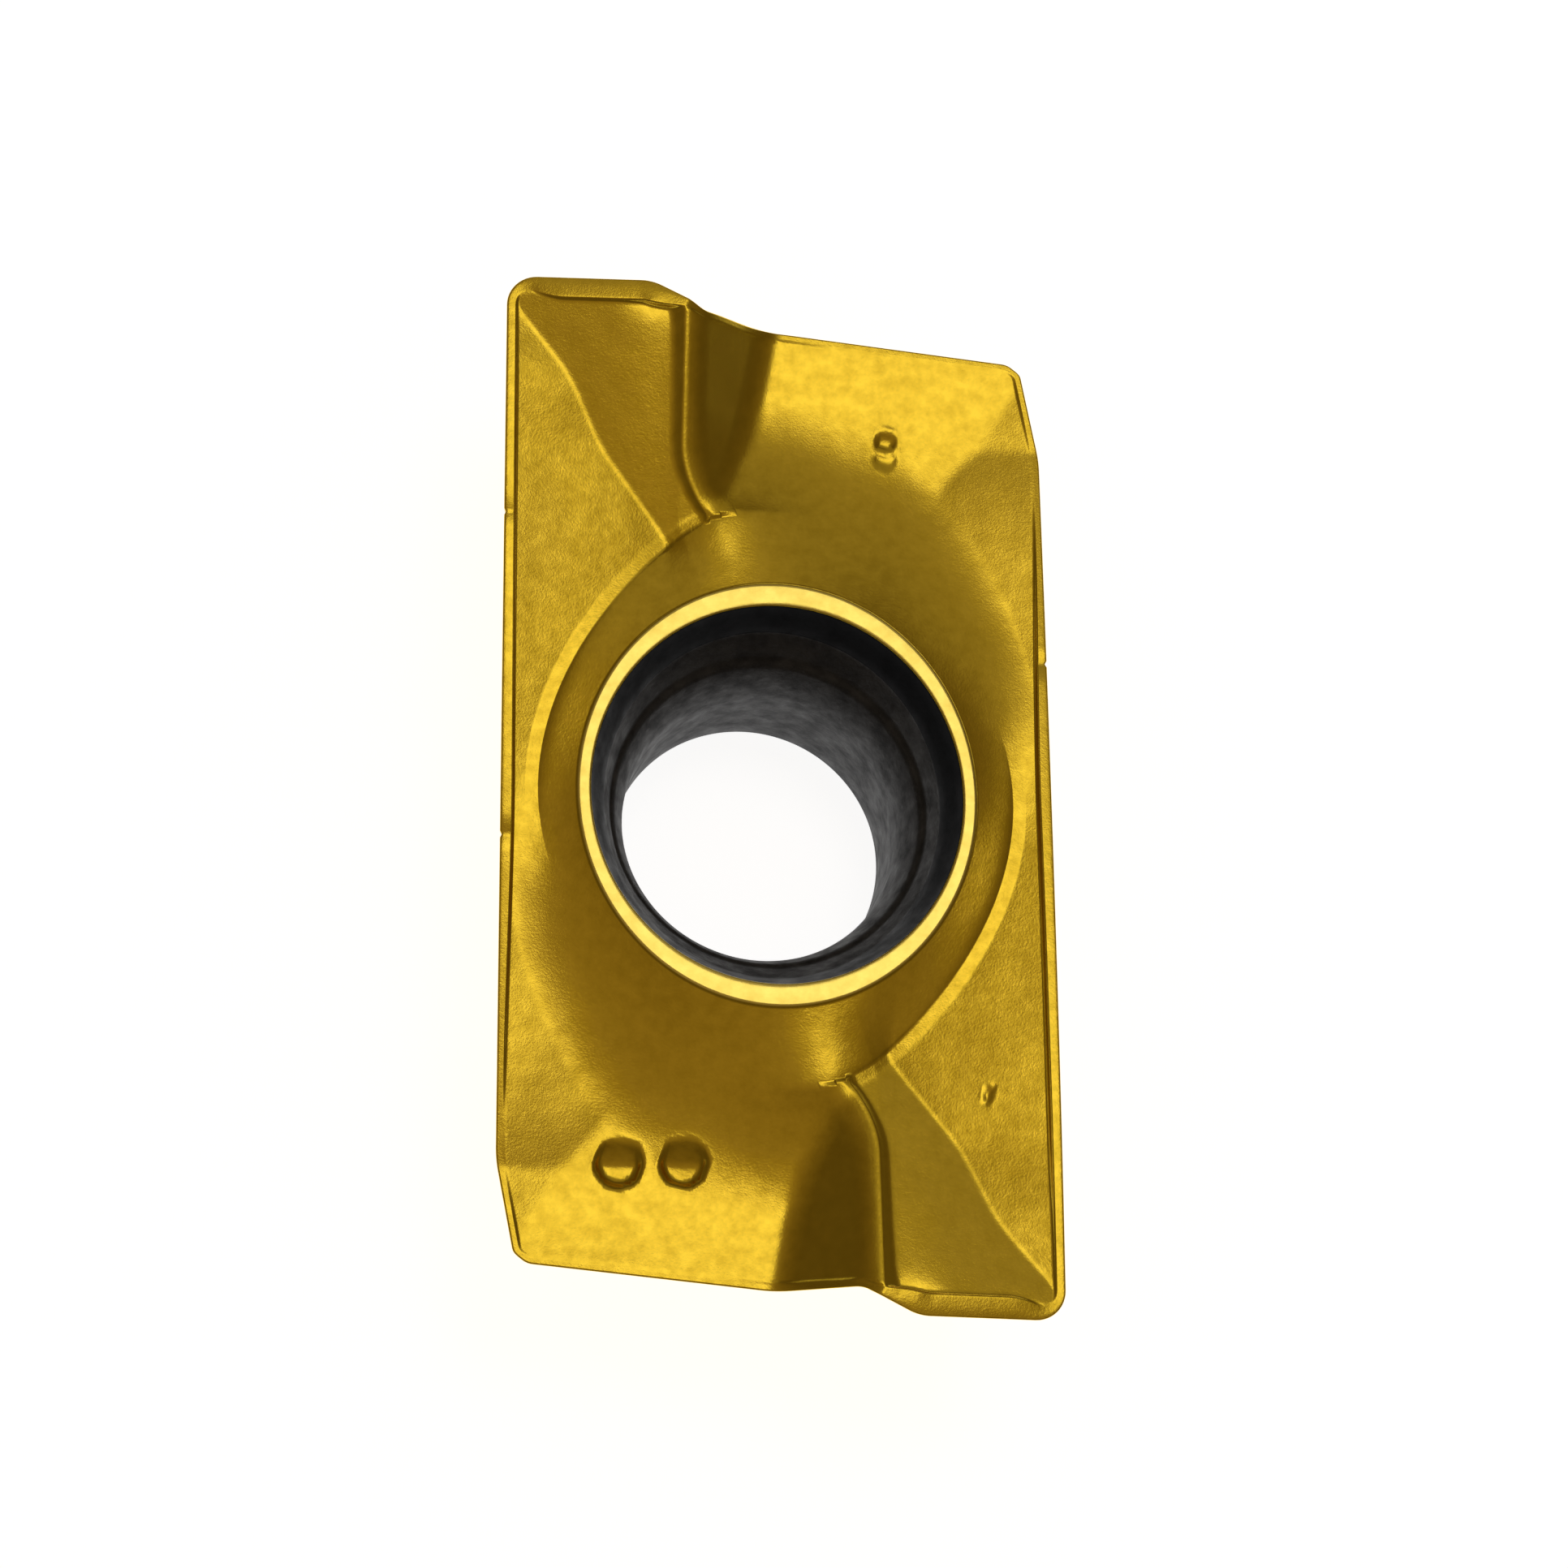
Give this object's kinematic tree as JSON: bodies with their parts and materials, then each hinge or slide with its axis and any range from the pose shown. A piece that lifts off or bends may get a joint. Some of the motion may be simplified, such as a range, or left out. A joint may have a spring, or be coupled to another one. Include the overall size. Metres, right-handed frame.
{
  "type": "carbide milling insert",
  "caption": "Parallelogram carbide milling insert with relieved flanks, a raised screw hole collar and a moulded chip pocket at each active corner.",
  "frame": {"origin": "on the axis of the screw hole, in the plane of the seating face", "axes": "+Z along the screw hole from the seating face to the rake face, +Y along the length towards the minor edge whose active corner lies on -X, +X across the width"},
  "size_m": [0.0096, 0.0182, 0.005],
  "materials": {
    "coating": "satin"
  },
  "bodies": {
    "root": {"insert": "coating"}
  },
  "joints": []
}
